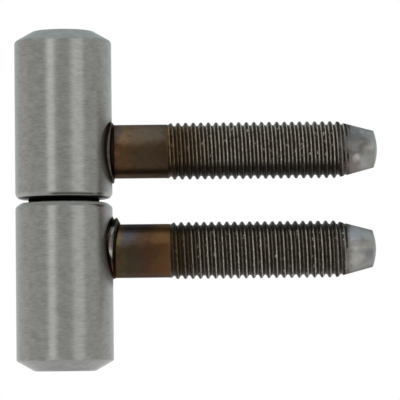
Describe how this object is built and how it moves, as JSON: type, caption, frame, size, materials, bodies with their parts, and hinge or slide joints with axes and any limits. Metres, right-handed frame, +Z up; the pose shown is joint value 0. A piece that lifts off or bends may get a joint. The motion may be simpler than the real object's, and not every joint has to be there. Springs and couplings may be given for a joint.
{
  "type": "screw-in hinge",
  "caption": "Lift-off hinge of two round steel barrels on a hidden pin, each with a welded threaded stud that screws into a door or a frame.",
  "frame": {"origin": "on the hinge axis, half way between the inner faces of the two barrels", "axes": "+Z up along the hinge axis from the frame half to the door half, +X along both studs away from the barrels"},
  "size_m": [0.0746, 0.02, 0.07],
  "materials": {
    "barrel_steel": "ground, satin",
    "stud_steel": "rolled thread, dark heat tint and rust, worn crests",
    "weld_steel": "burnt weld flash",
    "pin_steel": "ground",
    "washer_steel": "blackened"
  },
  "bodies": {
    "frame_half": {"frame_barrel": "barrel_steel", "frame_stud": "stud_steel", "frame_stud_weld": "weld_steel", "hinge_pin": "pin_steel"},
    "washer": {"thrust_washer": "washer_steel"},
    "door_half": {"door_barrel": "barrel_steel", "door_stud": "stud_steel", "door_stud_weld": "weld_steel"}
  },
  "joints": [
    {"name": "door_swing", "type": "hinge", "parent": "frame_half", "child": "washer", "pos_m": [0, 0, 0], "axis": [0, 0, 1], "continuous": true},
    {"name": "lift_off", "type": "slide", "parent": "washer", "child": "door_half", "axis": [0, 0, 1], "range_m": [0, 0.03]}
  ]
}
